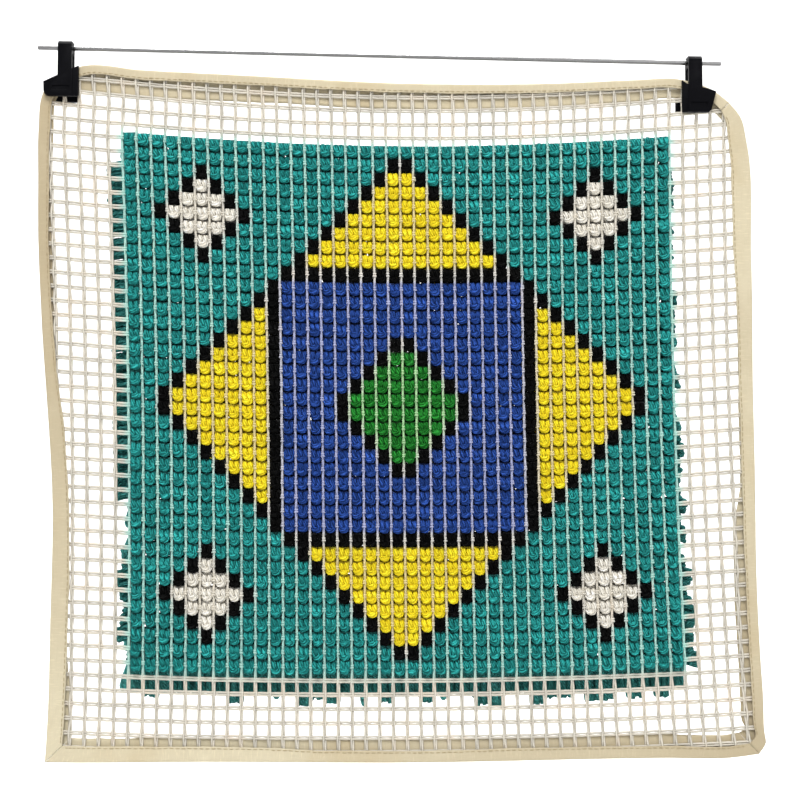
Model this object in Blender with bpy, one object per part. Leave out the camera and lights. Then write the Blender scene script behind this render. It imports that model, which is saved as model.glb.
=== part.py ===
"""Latch hook wall hanging, seen from its knotted side, clipped to a thin bar.

A square of open rug canvas carries rows of yarn knots. The knots lie towards -Y, and their cut pile
stands out towards +Y. A folded tape binds the canvas, and two clips hold its top corners on a bar.

The cloth is drawn on a grid: u counts the upright threads from the left edge of the knots, and v
counts the cross threads down from the first row of knots. drape() turns (u, v) into the true hung
shape. Metres, +Z up, +X to the right. The origin is the middle of the bar.
"""

import math

import bpy
import numpy as np
from mathutils.geometry import delaunay_2d_cdt

# The knotted field and the spacing of the canvas threads at its middle
COLUMNS = 40
ROWS = 38
COLUMN_PITCH = 0.0074
ROW_PITCH = 0.00768
MIDDLE = (0.0115, -0.1993)  # x and z of the field's middle, below and right of the bar's middle

# How the cloth hangs, each measured half a field away from its middle
SIDE_SPREAD = 0.0019  # the outer columns stand wider
WAIST = 0.0021  # the middle rows are drawn in
LEAN = 0.0021  # the lower rows hang to the right
SIDE_LEAN = 0.0012  # and more so at both sides
SAG = 0.0048  # the middle hangs below the sides
LOW_SAG = -0.0014  # a little less so at the top
BELLY = 0.0030  # the field bows back towards the pile
BELLY_REACH = 1.1  # in half fields, where that bow has run out
CURL = 0.0025  # the bottom margin comes forwards
RIPPLE = 0.0012  # the side margins wave, from the clips down
RIPPLE_ROWS = 17.0

# Canvas and the net cut into its margins, two threads at a time
CANVAS = 0.0014
CLEARANCE = 0.0003
BAR_OF_NET = 0.0021
LEFT_LINES = (-4, -2, 0)
RIGHT_LINES = (40, 42, 44)
TOP_LINES = (-4, -2, -0.5)
BOTTOM_LINES = (38, 40, 42)
SIDE_LINES = (-4, -2, 0, 2, 4, 6, 8, 10, 12, 14, 16, 18, 20, 22, 24, 26, 28, 30, 32, 34, 36, 38, 40, 42)
FIELD_STEP = 5  # columns and rows between the points inside the field
SAME_PLACE = 1e-7  # grid points nearer than this are one

# Outer edge of the bound cloth as (u, v), each side in turn, clockwise as seen
TOP_EDGE = (
    (-4.7, -3.7), (-2.6, -4.85), (1.6, -4.99), (9.3, -5.19), (20.1, -5.04), (31.9, -4.8), (37.6, -4.7),
    (40.6, -4.55), (43.3, -3.45), (44.4, -2.5),
)
RIGHT_EDGE = (
    (44.4, -2.5), (45.2, -1.4), (45.65, 0.5), (45.85, 9), (45.76, 19), (45.4, 30), (45.3, 37), (45.25, 40),
    (45.1, 42.3), (45.1, 43.1), (44.6, 43.8),
)
BOTTOM_EDGE = ((44.6, 43.8), (43.0, 43.95), (38, 43.78), (20, 43.72), (4, 43.74), (-5.63, 44.08))
LEFT_EDGE = (
    (-5.63, 44.08), (-5.5, 36), (-5.4, 27), (-5.7, 19), (-5.97, 13), (-6.05, 8), (-5.88, 3.5), (-5.7, 0),
    (-5.3, -2.6), (-4.7, -3.7),
)

# Binding tape: its thickness, and how far it covers each side, near the viewer and behind
TAPE = 0.0006
FOLD_ROUND = 0.0012
CANVAS_INSET = 0.0014
STATIONS = 25
# (share of the side's length, depth of the flap) from the side's first corner
FRONT_FLAP = {
    "top": ((0.0, 0.0066), (0.05, 0.0056), (0.95, 0.0054), (1.0, 0.0066)),
    "right": ((0.0, 0.0066), (0.10, 0.0094), (0.35, 0.0082), (0.6, 0.0074), (0.75, 0.0064), (1.0, 0.0064)),
    "bottom": ((0.0, 0.0064), (0.35, 0.0070), (0.45, 0.0064), (0.62, 0.0066), (0.70, 0.0080), (1.0, 0.0090)),
    "left": ((0.0, 0.0090), (0.25, 0.0098), (0.48, 0.0086), (0.56, 0.0066), (0.7, 0.0058), (1.0, 0.0066)),
}
BACK_FLAP = {
    "top": ((0.0, 0.0075), (0.05, 0.0156), (0.3, 0.0142), (0.6, 0.0142), (0.8, 0.0124), (1.0, 0.0090)),
    "right": ((0.0, 0.0090), (0.35, 0.0080), (0.6, 0.0078), (0.67, 0.0122), (1.0, 0.0122)),
    "bottom": ((0.0, 0.0122), (1.0, 0.0125)),
    "left": ((0.0, 0.0125), (0.1, 0.0115), (0.2, 0.0070), (0.56, 0.0066), (0.62, 0.0084), (1.0, 0.0075)),
}

# Knots: ridges of yarn between the upright threads
KNOT_TOP = -0.45
KNOT_BOTTOM = 37.85
KNOT_ROW_STEPS = 6
GROOVE_DEPTH = 0.0009
RIDGE_DEPTH = 0.0028
SHOULDERS = (0.22, 0.78)

# Pile: the cut ends of the yarn, behind the canvas
PILE = 0.0240
PILE_LUMP = 0.0022
PILE_DROOP = 1.9  # rows by which its far face has sunk at the bottom
TOP_DROOP_SHARE = 0.4  # of that, at the top
PILE_BULGE = (1.35, 0.9)  # columns by which its left and right sides swell
PILE_WAIST = 0.45  # share of its depth at which the sides swell most
PILE_EDGE_DROP = 0.25  # share of its depth by which the far face's edge falls back
PILE_STEPS = (27, 26)
LOCK_OUT = 0.0045
LOCK_DOWN = 0.0050
LOCK_STRAY = 0.0015  # to and from the canvas
LOCK_TIP = 0.28  # size of a lock's tip against its root
TOP_LOCK_SHARE = 0.1  # the upper locks stand out by only this much of LOCK_OUT

# Bar and clips, in each clip's own place below the bar's axis
BAR_RADIUS = 0.0014
BAR_LENGTH = 0.380
BAR_ROUND = 0.0007
BAR_TILT = math.radians(0.755)
CLIP_AT = 0.1764  # along the bar from its middle
CLIP_HALF_WIDTH = 0.0095
# Upper outline of a jaw: x towards the middle of the hanging, from its inner side to its outer side
JAW_TOPS = {
    "left": ((0.0095, -0.0108), (-0.0095, -0.0198)),
    "right": ((0.0095, -0.0110), (0.0062, -0.0131), (-0.0057, -0.0157), (-0.0095, -0.0172)),
}
OUTER_TAPER = {"left": 0.0002, "right": 0.0024}  # how much narrower a jaw's outer side is below
OUTER_CORNER = 0.0027
INNER_CORNER = 0.0010
JAW = 0.0024
JAW_SEAT = 0.0021  # from the cloth's middle to the jaw's inner face
JAW_RECESS = 0.0005
JAW_LIP = 0.0034  # height of the lip below the groove
JAW_GROOVE = 0.0022
GROOVE_HALF_WIDTH = 0.0048
INNER_BAND = 0.0032  # width of the sunk band at the jaw's inner side
ARM_HALF_WIDTH = 0.0038
ARM_SHIFT = 0.0020  # towards the middle of the hanging
ARM_FOOT = -0.0178  # where the arm ends inside the plate
COLLAR_TOP = 0.0030
COLLAR_SHOULDER = 0.0012
COLLAR_BEVEL = 0.0016
NECK_DROP = 0.0010
# Each jaw: how far below the bar it ends, and how far it sits off its clip, towards the middle
JAWS = {
    ("left", "near"): (0.0277, 0.0),
    ("left", "far"): (0.0295, -0.0006),
    ("right", "near"): (0.0288, 0.0),
    ("right", "far"): (0.0276, 0.0022),
}

COLOURS = {
    "canvas": ((0.80, 0.74, 0.62), 0.85, 0.0),
    "binding": ((0.68, 0.60, 0.40), 0.85, 0.0),
    "knots": ((0.012, 0.23, 0.21), 0.90, 0.0),
    "pile": ((0.010, 0.17, 0.155), 0.95, 0.0),
    "clip": ((0.010, 0.011, 0.014), 0.45, 0.0),
    "bar": ((0.75, 0.75, 0.76), 0.20, 1.0),
}


def material(name):
    """The plain finish of one kind of sub-part."""
    found = bpy.data.materials.get(name)
    if found is None:
        found = bpy.data.materials.new(name)
        found.use_nodes = True
        colour, roughness, metallic = COLOURS[name]
        shader = found.node_tree.nodes["Principled BSDF"]
        shader.inputs["Base Color"].default_value = (*colour, 1)
        shader.inputs["Roughness"].default_value = roughness
        shader.inputs["Metallic"].default_value = metallic
    return found


def add_object(name, points, faces, finish):
    """One named object from points and faces."""
    mesh = bpy.data.meshes.new(name)
    mesh.from_pydata([tuple(p) for p in points], [], [tuple(int(i) for i in f) for f in faces])
    mesh.materials.append(material(finish))
    mesh.update()
    made = bpy.data.objects.new(name, mesh)
    bpy.context.scene.collection.objects.link(made)
    return made


def drape(u, v, y=0.0):
    """The hung cloth's place for grid numbers u and v, moved y behind its middle surface."""
    u, v, y = np.broadcast_arrays(*(np.asarray(a, float) for a in (u, v, y)))
    across = (u - COLUMNS / 2) / (COLUMNS / 2)
    down = (v - ROWS / 2) / (COLUMNS / 2)
    x = MIDDLE[0] + COLUMN_PITCH * COLUMNS / 2 * across + SIDE_SPREAD * across**3
    x = x + WAIST * across * down**2 + LEAN * down + SIDE_LEAN * across**2 * down
    z = MIDDLE[1] - ROW_PITCH * COLUMNS / 2 * down + SAG * across**2 + LOW_SAG * across**2 * down
    past_side = np.maximum(abs(across) - 1, 0)
    past_bottom = np.maximum(v - ROWS, 0)
    wave = np.sin(2 * math.pi * v / RIPPLE_ROWS + across) * np.clip(v / RIPPLE_ROWS, 0, 1)
    deep = BELLY * np.maximum(1 - (across / BELLY_REACH) ** 2, 0) ** 2 - CURL * (past_bottom / 6) ** 2
    deep = deep + RIPPLE * wave * (past_side / 0.3) ** 2
    return np.stack([x, deep + y, z], axis=-1)


def smooth_line(points, count):
    """count points, evenly spaced, on a smooth curve through points: a cubic between each two."""
    p = np.array(points, float)
    along = np.concatenate([[0], np.cumsum(np.linalg.norm(np.diff(p, axis=0), axis=1))])
    slope = np.gradient(p, along, axis=0)
    at = np.linspace(0, along[-1], count)
    i = np.clip(np.searchsorted(along, at, side="right") - 1, 0, len(p) - 2)
    step = (along[i + 1] - along[i])[:, None]
    t = ((at - along[i]) / step[:, 0])[:, None]
    start, end = p[i], p[i + 1]
    left, right = slope[i] * step, slope[i + 1] * step
    return (
        (2 * t**3 - 3 * t**2 + 1) * start
        + (t**3 - 2 * t**2 + t) * left
        + (3 * t**2 - 2 * t**3) * end
        + (t**3 - t**2) * right
    )


def inward_steps(lines):
    """For each side, the way inwards at each of its stations, in the cloth's plane.

    It is square to the edge, but along the mitre at the two corners.
    """
    ways = []
    for line in lines:
        run = np.gradient(line, axis=0)
        run = run / np.linalg.norm(run, axis=1)[:, None]
        ways.append(np.stack([run[:, 1], -run[:, 0]], axis=1))
    for k, way in enumerate(ways):
        after = ways[(k + 1) % len(ways)]
        mitre = way[-1] + after[0]
        mitre = mitre * 2 / (mitre @ mitre)
        way[-1] = mitre
        after[0] = mitre
    return ways


def cloth_edges():
    """Each side's outer line and its way inwards, as (x, z) at each station."""
    sides = (TOP_EDGE, RIGHT_EDGE, BOTTOM_EDGE, LEFT_EDGE)
    grid = [smooth_line(side, STATIONS) for side in sides]
    lines = [drape(g[:, 0], g[:, 1])[:, [0, 2]] for g in grid]
    return lines, inward_steps(lines)


def grid_of(x, z):
    """The grid numbers of a place on the cloth, found by stepping towards it."""
    u, v = np.full(x.shape, COLUMNS / 2), np.full(x.shape, ROWS / 2)
    for _ in range(12):
        at = drape(u, v)
        u = u + (x - at[..., 0]) / COLUMN_PITCH
        v = v - (z - at[..., 2]) / ROW_PITCH
    return u, v


def closed_sheet(uv, faces, near, far):
    """Points and faces of a solid between two depths over the same grid points and faces."""
    count = len(uv)
    points = np.concatenate([drape(uv[:, 0], uv[:, 1], near), drape(uv[:, 0], uv[:, 1], far)])
    edges = {(f[i], f[(i + 1) % len(f)]) for f in faces for i in range(len(f))}
    rim = [(a, b) for a, b in edges if (b, a) not in edges]
    solid = [tuple(f) for f in faces]
    solid += [tuple(i + count for i in reversed(f)) for f in faces]
    solid += [(b, a, a + count, b + count) for a, b in sorted(rim)]
    return points, solid


def grid_faces(across, down):
    """Squares of a grid of points numbered along u first, turned towards the viewer."""
    return [
        (k, k + across, k + across + 1, k + 1)
        for j in range(down - 1)
        for k in range(j * across, j * across + across - 1)
    ]


def net_holes(outline):
    """The margin's holes as four corners (u, v) each, those well inside the outline alone."""
    half = BAR_OF_NET / COLUMN_PITCH / 2
    low, high = outline.min(axis=0), outline.max(axis=0)
    field_lines = range(0, COLUMNS + 1, 2)
    blocks = (
        (LEFT_LINES, SIDE_LINES),
        (RIGHT_LINES, SIDE_LINES),
        (field_lines, TOP_LINES),
        (field_lines, BOTTOM_LINES),
    )
    holes = []
    for columns, rows in blocks:
        for left, right in zip(columns, columns[1:]):
            for top, bottom in zip(rows, rows[1:]):
                corners = np.array([(left, top), (left, bottom), (right, bottom), (right, top)], float)
                middle = corners.mean(axis=0)
                in_bounds = (corners - half > low).all() and (corners + half < high).all()
                if in_bounds and not under_clip(middle):
                    holes.append(corners + half * np.sign(middle - corners))
    return holes


def under_clip(place):
    """Whether a hole's middle lies where a clip bites, or in the rounded corner beside it."""
    u, v = place
    return v < -2 and (u < -2 or u > COLUMNS)


def make_canvas(lines, ways):
    """Rug canvas: one thin sheet, its margins cut into a net and its field left whole."""
    edge = np.concatenate([(line + CANVAS_INSET * way)[:-1] for line, way in zip(lines, ways)])
    outline = np.stack(grid_of(edge[:, 0], edge[:, 1]), axis=1)
    holes = net_holes(outline)
    inside = range(FIELD_STEP, COLUMNS - 1, FIELD_STEP)
    field = [(u, v) for u in inside for v in range(FIELD_STEP - 1, ROWS - 2, FIELD_STEP)]
    loops = [outline, *holes]
    points = np.concatenate([*loops, np.array(field, float)])
    starts = np.cumsum([0, *(len(loop) for loop in loops)])
    edges = [
        (int(start + i), int(start + (i + 1) % len(loop)))
        for start, loop in zip(starts, loops)
        for i in range(len(loop))
    ]
    within_outline = 2  # the way of filling that leaves out what lies beyond the outer loop
    filled = delaunay_2d_cdt([tuple(p) for p in points], edges, [], within_outline, SAME_PLACE)
    flat = np.array([tuple(p) for p in filled[0]])
    faces = []
    for a, b, c in filled[2]:
        (ua, va), (ub, vb), (uc, vc) = flat[a], flat[b], flat[c]
        centre = (flat[a] + flat[b] + flat[c]) / 3
        if any((hole.min(axis=0) < centre).all() and (centre < hole.max(axis=0)).all() for hole in holes):
            continue
        turned = (ub - ua) * (vc - va) - (uc - ua) * (vb - va) > 0
        faces.append((a, c, b) if turned else (a, b, c))
    solid = closed_sheet(flat, faces, -CANVAS / 2, CANVAS / 2)
    add_object("canvas", *solid, "canvas")


def make_binding(name, line, way):
    """One side's tape, folded over the canvas's edge: its section, carried along the side."""
    outer = CANVAS / 2 + CLEARANCE + TAPE
    inner = outer - TAPE
    share = np.linspace(0, 1, len(line))
    front, back = (np.interp(share, *zip(*flap[name])) for flap in (FRONT_FLAP, BACK_FLAP))
    same = np.ones(len(line))
    section = (
        (front, -outer),
        (FOLD_ROUND * same, -outer),
        (0.35 * FOLD_ROUND * same, -0.75 * outer),
        (0 * same, 0.0),
        (0.35 * FOLD_ROUND * same, 0.75 * outer),
        (FOLD_ROUND * same, outer),
        (back, outer),
        (back, inner),
        ((TAPE + CLEARANCE) * same, inner),
        (TAPE * same, 0.0),
        ((TAPE + CLEARANCE) * same, -inner),
        (front, -inner),
    )
    run = np.gradient(line, axis=0)
    run = run / np.linalg.norm(run, axis=1)[:, None]
    parted = line.copy()
    parted[0] += CLEARANCE * run[0]
    parted[-1] -= CLEARANCE * run[-1]
    rings = []
    for depth, y in section:
        place = parted + depth[:, None] * way
        u, v = grid_of(place[:, 0], place[:, 1])
        rings.append(drape(u, v, y))
    points = np.stack(rings, axis=1).reshape(-1, 3)
    around = len(section)
    faces = [
        (k * around + i, (k + 1) * around + i, (k + 1) * around + (i + 1) % around, k * around + (i + 1) % around)
        for k in range(len(line) - 1)
        for i in range(around)
    ]
    cap = [(5, 6, 7, 8), (4, 5, 8), (3, 4, 8, 9), (2, 3, 9, 10), (1, 2, 10), (0, 1, 10, 11)]
    last = (len(line) - 1) * around
    faces += cap
    faces += [tuple(last + i for i in reversed(f)) for f in cap]
    add_object("binding_" + name, points, faces, "binding")


def make_knots():
    """The knots' side of the yarn: a slab with a ridge in each column."""
    across = [k + s for k in range(COLUMNS) for s in (0, *SHOULDERS)] + [COLUMNS]
    down = np.linspace(KNOT_TOP, KNOT_BOTTOM, KNOT_ROW_STEPS + 1)
    u, v = np.meshgrid(across, down)
    uv = np.stack([u.ravel(), v.ravel()], axis=1)
    back = -(CANVAS / 2 + CLEARANCE)
    on_thread = np.isclose(uv[:, 0] % 1, 0)
    near = back - np.where(on_thread, GROOVE_DEPTH, RIDGE_DEPTH)
    faces = grid_faces(len(across), len(down))
    add_object("knots", *closed_sheet(uv, faces, near, np.full(len(uv), back)), "knots")


def lumps(u, v):
    """An uneven height between -1 and 1: three crossing waves of unlike lengths."""
    wave = np.sin(1.31 * u + 0.47 * v) + np.sin(0.83 * v - 0.59 * u + 1.0) + np.sin(2.17 * u - 1.63 * v + 2.0)
    return wave / 3


def make_pile():
    """The pile: a lumpy slab whose sides swell and sink, with a tapered lock on each side square."""
    across, down = PILE_STEPS[0] + 1, PILE_STEPS[1] + 1
    u, v = np.meshgrid(np.linspace(0, COLUMNS, across), np.linspace(KNOT_TOP, KNOT_BOTTOM, down))
    sideways = 2 * u / COLUMNS - 1
    lower = (v - KNOT_TOP) / (KNOT_BOTTOM - KNOT_TOP)
    root = CANVAS / 2 + CLEARANCE
    near = drape(u, v, root)
    edge = (abs(sideways) > 0.999) | (lower < 0.001) | (lower > 0.999)
    swell = PILE_BULGE[1] * (sideways > 0.999) - PILE_BULGE[0] * (sideways < -0.999)
    sunk = PILE_DROOP * (TOP_DROOP_SHARE + (1 - TOP_DROOP_SHARE) * lower)
    belly = drape(u + swell, v + PILE_WAIST * sunk, root + PILE_WAIST * PILE)
    depth = PILE + PILE_LUMP * lumps(u, v) - PILE_EDGE_DROP * PILE * edge
    far = drape(u + 0.6 * swell, v + sunk, depth)
    count = across * down
    faces = grid_faces(across, down)
    edges = {(f[i], f[(i + 1) % 4]) for f in faces for i in range(4)}
    rim = sorted((a, b) for a, b in edges if (b, a) not in edges)
    ring = {a: 2 * count + k for k, (a, b) in enumerate(rim)}
    belly_points = belly.reshape(-1, 3)[[a for a, b in rim]]
    points = np.concatenate([near.reshape(-1, 3), far.reshape(-1, 3), belly_points])
    solid = list(faces) + [tuple(i + count for i in reversed(f)) for f in faces]
    solid += [(b, a, ring[a], ring[b]) for a, b in rim]
    tops = [(ring[b], ring[a], a + count, b + count) for a, b in rim]
    middle = points[:count].mean(axis=0)
    tips, locks = [], []
    for k, top in enumerate(tops):
        quad = points[list(top)]
        centre = quad.mean(axis=0)
        away = np.array([centre[0] - middle[0], 0, centre[2] - middle[2]])
        flat = np.where(abs(away) > 0.95 * abs(away).max(), np.sign(away), 0)
        upwards = max(flat[2], 0)
        reach = LOCK_OUT * (TOP_LOCK_SHARE if upwards else 1) * (0.75 + 0.25 * math.sin(2.4 * k))
        hang = LOCK_DOWN * (0.8 + 0.2 * math.cos(1.7 * k))
        tip = centre + reach * flat + np.array([0, LOCK_STRAY * math.sin(3.1 * k), -hang])
        first = len(points) + len(tips)
        tips += list(tip + LOCK_TIP * (quad - centre))
        new = tuple(first + i for i in range(4))
        locks.append(new)
        locks += [(top[i], top[(i + 1) % 4], new[(i + 1) % 4], new[i]) for i in range(4)]
    add_object("pile", np.concatenate([points, tips]), solid + locks, "pile")


def plate_outline(side, bottom):
    """A jaw's outline in (x, z), x towards the middle of the hanging: two rounded lower corners and a top."""
    half = CLIP_HALF_WIDTH
    turn = np.linspace(0, math.pi / 2, 4)
    x = half - OUTER_TAPER[side] - OUTER_CORNER
    outer = [(-x - OUTER_CORNER * math.cos(a), -bottom + OUTER_CORNER * (1 - math.sin(a))) for a in turn]
    x = half - INNER_CORNER
    inner = [(x + INNER_CORNER * math.sin(a), -bottom + INNER_CORNER * (1 - math.cos(a))) for a in turn]
    return outer + inner + list(JAW_TOPS[side])


def extrude(outline, way, start, end):
    """Points and faces of a straight solid: an outline of (a, b) carried along one axis."""
    rings = [[way(a, b, depth) for a, b in outline] for depth in (start, end)]
    count = len(outline)
    faces = [tuple(range(count)), tuple(reversed(range(count, 2 * count)))]
    faces += [(i, i + count, (i + 1) % count + count, (i + 1) % count) for i in range(count)]
    return rings[0] + rings[1], faces


def make_jaw(side, face):
    """One jaw: a plate with a groove and a sunk inner band, and an arm that half rounds the bar."""
    inwards = 1 if side == "left" else -1
    turn = -1 if face == "near" else 1
    bottom, offset = JAWS[side, face]
    outside = JAW_SEAT + JAW
    name = f"clip_{side}_{face}"

    def laid(x, z, y):
        return inwards * (x + offset), turn * y, z

    jaw = add_object(name, *extrude(plate_outline(side, bottom), laid, JAW_SEAT, outside), "clip")
    sides = (ARM_SHIFT - ARM_HALF_WIDTH, ARM_SHIFT + ARM_HALF_WIDTH)
    arm = extrude(arm_section(), lambda y, z, x: (inwards * x, turn * y, z), *sides)
    helpers = [add_object(name + "_arm", *arm, "clip")]
    low, wide, beyond = JAW_LIP - bottom, GROOVE_HALF_WIDTH, CLIP_HALF_WIDTH + JAW
    sunk = (
        ("_groove", -wide, wide, low, low + JAW_GROOVE),
        ("_band", CLIP_HALF_WIDTH - INNER_BAND, beyond, -bottom - JAW, 0.0),
    )
    depths = (outside - JAW_RECESS, outside + JAW_RECESS)
    for ending, left, right, below, above in sunk:
        corners = [(left, below), (right, below), (right, above), (left, above)]
        helpers.append(add_object(name + ending, *extrude(corners, laid, *depths), "clip"))
    for solid in (jaw, *helpers):
        flip_if_inside_out(solid)
    for other, operation in zip(helpers, ("UNION", "DIFFERENCE", "DIFFERENCE")):
        cut = jaw.modifiers.new(other.name, "BOOLEAN")
        cut.operation = operation
        cut.object = other
        other.hide_render = True
        other.display_type = "WIRE"
    return jaw, helpers


def arm_section():
    """An arm's outline in (y, z): up from the plate, and a half collar round the bar."""
    bore = BAR_RADIUS + CLEARANCE
    outside = JAW_SEAT + JAW
    parting = CLEARANCE / 2
    edge = math.asin(parting / bore)
    turns = np.linspace(math.pi / 2 - edge, edge - math.pi / 2, 7)
    collar = [(bore * math.cos(a), bore * math.sin(a)) for a in turns]
    return [
        (JAW_SEAT, ARM_FOOT),
        (outside, ARM_FOOT),
        (outside, COLLAR_SHOULDER),
        (outside - COLLAR_BEVEL, COLLAR_TOP),
        (parting, COLLAR_TOP),
        *collar,
        (parting, -COLLAR_TOP),
        (JAW_SEAT, -COLLAR_TOP - NECK_DROP),
    ]


def flip_if_inside_out(solid):
    """Turns a solid's faces outwards."""
    mesh = solid.data
    volume = 0.0
    for face in mesh.polygons:
        corners = [mesh.vertices[i].co for i in face.vertices]
        for k in range(1, len(corners) - 1):
            volume += corners[0].dot(corners[k].cross(corners[k + 1]))
    if volume < 0:
        mesh.flip_normals()


def make_bar():
    """The plain round bar, with softly rounded ends."""
    half = BAR_LENGTH / 2
    stops = ((-half, 0.5), (BAR_ROUND - half, 1.0), (half - BAR_ROUND, 1.0), (half, 0.5))
    sides = 16
    turns = [2 * math.pi * k / sides for k in range(sides)]
    points = [
        (x, share * BAR_RADIUS * math.cos(a), share * BAR_RADIUS * math.sin(a)) for x, share in stops for a in turns
    ]
    faces = [
        (k * sides + i, k * sides + (i + 1) % sides, (k + 1) * sides + (i + 1) % sides, (k + 1) * sides + i)
        for k in range(len(stops) - 1)
        for i in range(sides)
    ]
    faces += [tuple(reversed(range(sides))), tuple(range((len(stops) - 1) * sides, len(stops) * sides))]
    bar = add_object("bar", points, faces, "bar")
    flip_if_inside_out(bar)
    bar.rotation_euler = (0, BAR_TILT, 0)
    bar.data.shade_smooth()
    bar.data.set_sharp_from_angle(angle=math.radians(40))


def make_clips():
    """Two clips on the bar, each a near jaw and a far jaw hung at its own place."""
    for side, sign in (("left", -1), ("right", 1)):
        place = (sign * CLIP_AT * math.cos(BAR_TILT), 0, -sign * CLIP_AT * math.sin(BAR_TILT))
        for face in ("near", "far"):
            jaw, helpers = make_jaw(side, face)
            for solid in (jaw, *helpers):
                solid.location = place


def main():
    for old in list(bpy.data.objects):
        bpy.data.objects.remove(old)
    lines, ways = cloth_edges()
    make_canvas(lines, ways)
    for name, line, way in zip(("top", "right", "bottom", "left"), lines, ways):
        make_binding(name, line, way)
    make_knots()
    make_pile()
    make_bar()
    make_clips()


main()
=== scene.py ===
"""Latch hook wall hanging: the looks of its canvas, yarn, binding, clips and bar."""

import math

import bmesh
import bpy
import numpy as np
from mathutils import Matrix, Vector


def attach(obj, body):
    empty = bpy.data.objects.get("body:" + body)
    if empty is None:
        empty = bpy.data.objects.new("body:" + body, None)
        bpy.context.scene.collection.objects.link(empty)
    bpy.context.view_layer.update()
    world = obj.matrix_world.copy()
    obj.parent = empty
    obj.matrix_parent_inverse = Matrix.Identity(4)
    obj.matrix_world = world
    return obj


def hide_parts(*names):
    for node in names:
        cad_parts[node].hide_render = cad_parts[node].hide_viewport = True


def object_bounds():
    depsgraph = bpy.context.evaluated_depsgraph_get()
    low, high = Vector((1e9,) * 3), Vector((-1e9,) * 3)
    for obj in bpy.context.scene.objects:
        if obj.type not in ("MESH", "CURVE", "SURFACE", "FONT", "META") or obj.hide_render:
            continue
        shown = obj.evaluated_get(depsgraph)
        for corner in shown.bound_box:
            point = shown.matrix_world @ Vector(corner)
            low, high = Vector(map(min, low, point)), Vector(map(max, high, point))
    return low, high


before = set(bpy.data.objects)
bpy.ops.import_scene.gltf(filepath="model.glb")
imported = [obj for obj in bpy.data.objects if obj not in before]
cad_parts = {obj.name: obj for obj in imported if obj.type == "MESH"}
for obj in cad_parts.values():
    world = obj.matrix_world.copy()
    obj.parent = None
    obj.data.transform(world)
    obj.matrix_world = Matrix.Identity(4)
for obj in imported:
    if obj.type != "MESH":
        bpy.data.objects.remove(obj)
CAD_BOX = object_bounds()

bl_info = {
    "name": "Latch hook wall hanging",
    "version": (1, 0, 0),
    "blender": (4, 5, 0),
    "location": "3D View > Sidebar > Hanging",
    "description": "Dresses the solids of a latch hook wall hanging with threads, knots, pile and tape",
    "category": "Add Mesh",
}

# The knotted field and how the cloth hangs, as the solids have them (metres)
COLUMNS = 40
ROWS = 38
COLUMN_PITCH = 0.0074
ROW_PITCH = 0.00768
MIDDLE = (0.0115, -0.1993)
SIDE_SPREAD = 0.0019
WAIST = 0.0021
LEAN = 0.0021
SIDE_LEAN = 0.0012
SAG = 0.0048
LOW_SAG = -0.0014
BELLY = 0.0030
BELLY_REACH = 1.1
CURL = 0.0025
RIPPLE = 0.0012
RIPPLE_ROWS = 17.0

# Outer edge of the bound cloth as (u, v), clockwise as seen from the knots' side
EDGES = {
    "top": (
        (-4.7, -3.7), (-2.6, -4.85), (1.6, -4.99), (9.3, -5.19), (20.1, -5.04), (31.9, -4.8), (37.6, -4.7),
        (40.6, -4.55), (43.3, -3.45), (44.4, -2.5),
    ),
    "right": (
        (44.4, -2.5), (45.2, -1.4), (45.65, 0.5), (45.85, 9), (45.76, 19), (45.4, 30), (45.3, 37),
        (45.25, 40), (45.1, 42.3), (45.1, 43.1), (44.6, 43.8),
    ),
    "bottom": ((44.6, 43.8), (43.0, 43.95), (38, 43.78), (20, 43.72), (4, 43.74), (-5.63, 44.08)),
    "left": (
        (-5.63, 44.08), (-5.5, 36), (-5.4, 27), (-5.7, 19), (-5.97, 13), (-6.05, 8), (-5.88, 3.5), (-5.7, 0),
        (-5.3, -2.6), (-4.7, -3.7),
    ),
}

# How far the tape covers each side, near the viewer and behind: (share of the side's length, depth)
FRONT_FLAP = {
    "top": ((0.0, 0.0066), (0.05, 0.0056), (0.95, 0.0054), (1.0, 0.0066)),
    "right": (
        (0.0, 0.0066), (0.04, 0.0105), (0.15, 0.0114), (0.35, 0.0087), (0.6, 0.0074), (0.75, 0.0064),
        (1.0, 0.0064),
    ),
    "bottom": ((0.0, 0.0064), (0.35, 0.0070), (0.45, 0.0064), (0.62, 0.0066), (0.70, 0.0080), (1.0, 0.0090)),
    "left": ((0.0, 0.0090), (0.25, 0.0098), (0.48, 0.0086), (0.56, 0.0066), (0.7, 0.0058), (1.0, 0.0066)),
}
BACK_FLAP = {
    "top": ((0.0, 0.0075), (0.05, 0.0156), (0.3, 0.0142), (0.6, 0.0142), (0.8, 0.0124), (1.0, 0.0090)),
    "right": ((0.0, 0.0090), (0.35, 0.0080), (0.6, 0.0078), (0.67, 0.0122), (1.0, 0.0122)),
    "bottom": ((0.0, 0.0122), (1.0, 0.0125)),
    "left": ((0.0, 0.0125), (0.1, 0.0115), (0.2, 0.0070), (0.56, 0.0066), (0.62, 0.0084), (1.0, 0.0075)),
}
CANVAS = 0.0014  # thickness
CLEARANCE = 0.0003  # between the canvas and the tape's inner faces
FOLD_ROUND = 0.0012  # how far in from the edge the fold is round
CANVAS_INSET = 0.0014  # from the bound edge in to the canvas's own
MITRE_REACH = 0.030  # from a corner, where its mitre no longer turns the tape's section
MITRE_GAP = 0.00004  # half of what parts two tapes

GROUND = "teal"
SHADES = ("teal", "blue", "yellow", "green", "cream", "black")
CLIPS = ("clip_left_near", "clip_left_far", "clip_right_near", "clip_right_far")
SEED = 11
ACROSS, BACK = np.eye(3)[:2]  # to the right, and to the pile's side


def length_prop(name, description, default):
    """A setting that is a length in metres."""
    return bpy.props.FloatProperty(
        name=name, description=description, default=default, unit="LENGTH", precision=5
    )


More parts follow.
